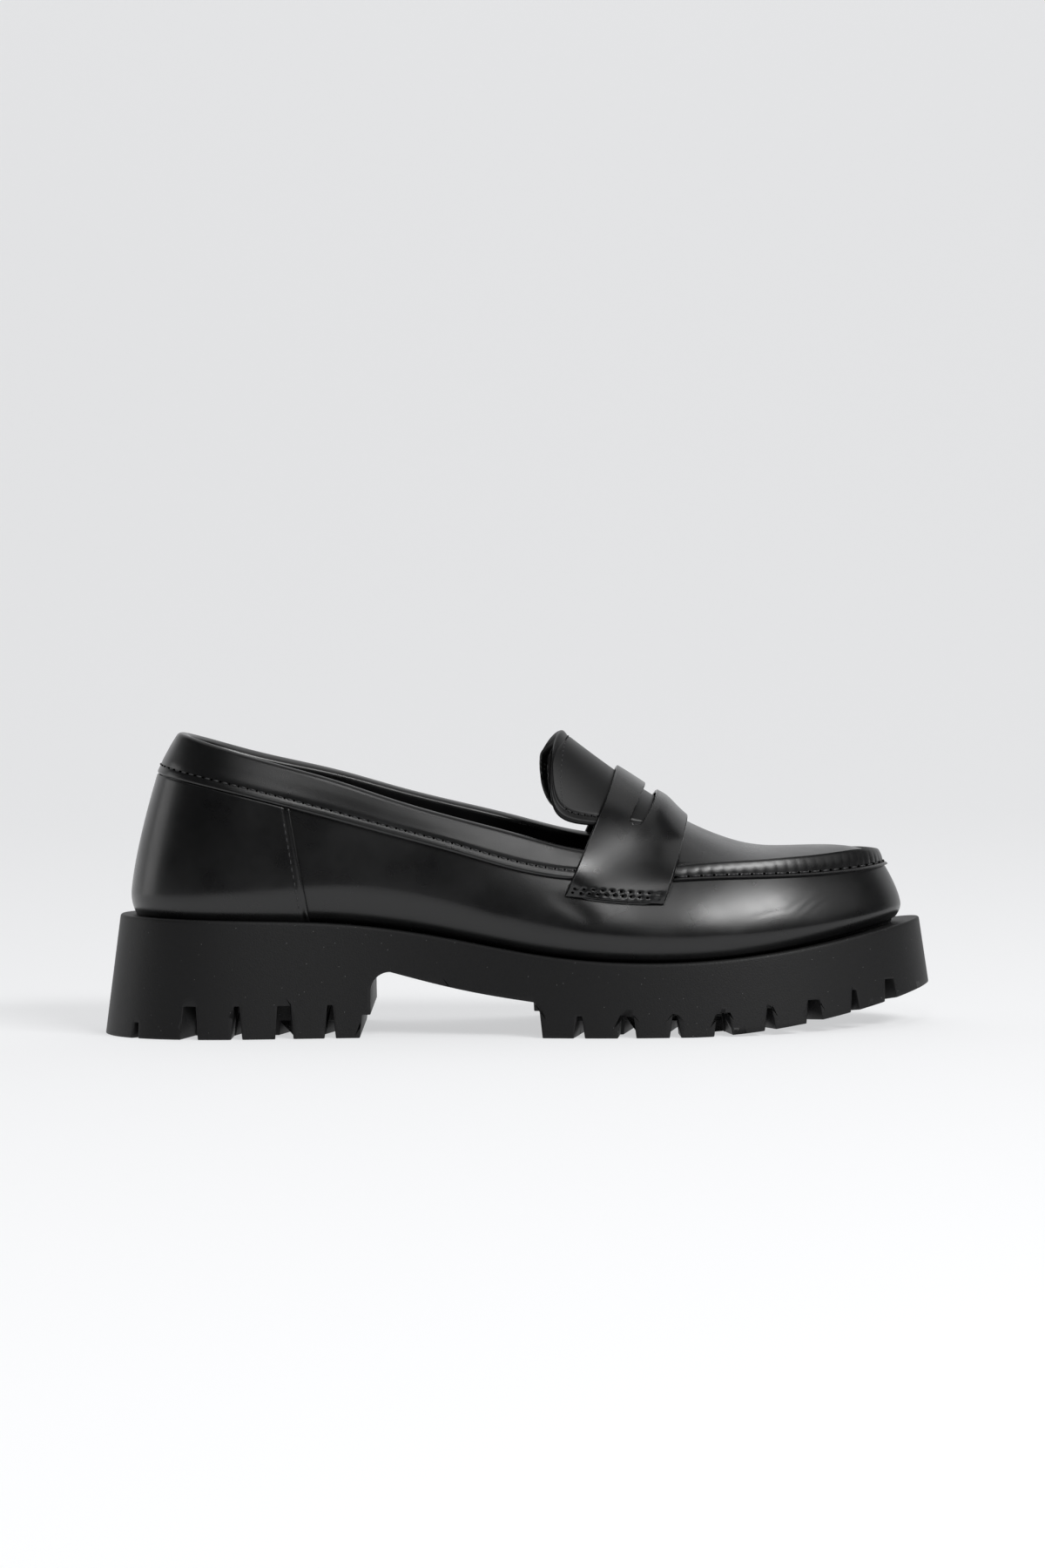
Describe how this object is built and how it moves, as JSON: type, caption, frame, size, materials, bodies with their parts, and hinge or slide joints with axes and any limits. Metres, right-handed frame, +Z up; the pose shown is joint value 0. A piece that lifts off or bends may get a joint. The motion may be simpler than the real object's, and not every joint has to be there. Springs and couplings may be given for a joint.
{
  "type": "chunky lug sole loafer",
  "caption": "Black leather penny loafer for the right foot, with a stitched moc toe, a saddle strap with a long slot, and a thick lugged rubber sole with a block heel.",
  "frame": {"origin": "centre of the shoe's footprint box, on the ground under the sole", "axes": "+X towards the toe, +Y towards the inner (medial) side of the right foot, +Z up"},
  "size_m": [0.2787, 0.0994, 0.101],
  "materials": {
    "upper_leather": "smooth black leather with a soft gloss and fine grain",
    "lining": "matte black lining leather",
    "sole_rubber": "matte black moulded rubber"
  },
  "bodies": {
    "root": {"sole": "sole_rubber", "insole": "lining", "upper": "upper_leather", "heel_counter": "upper_leather", "collar_band": "upper_leather", "tongue": "upper_leather", "saddle_strap": "upper_leather"}
  },
  "joints": []
}
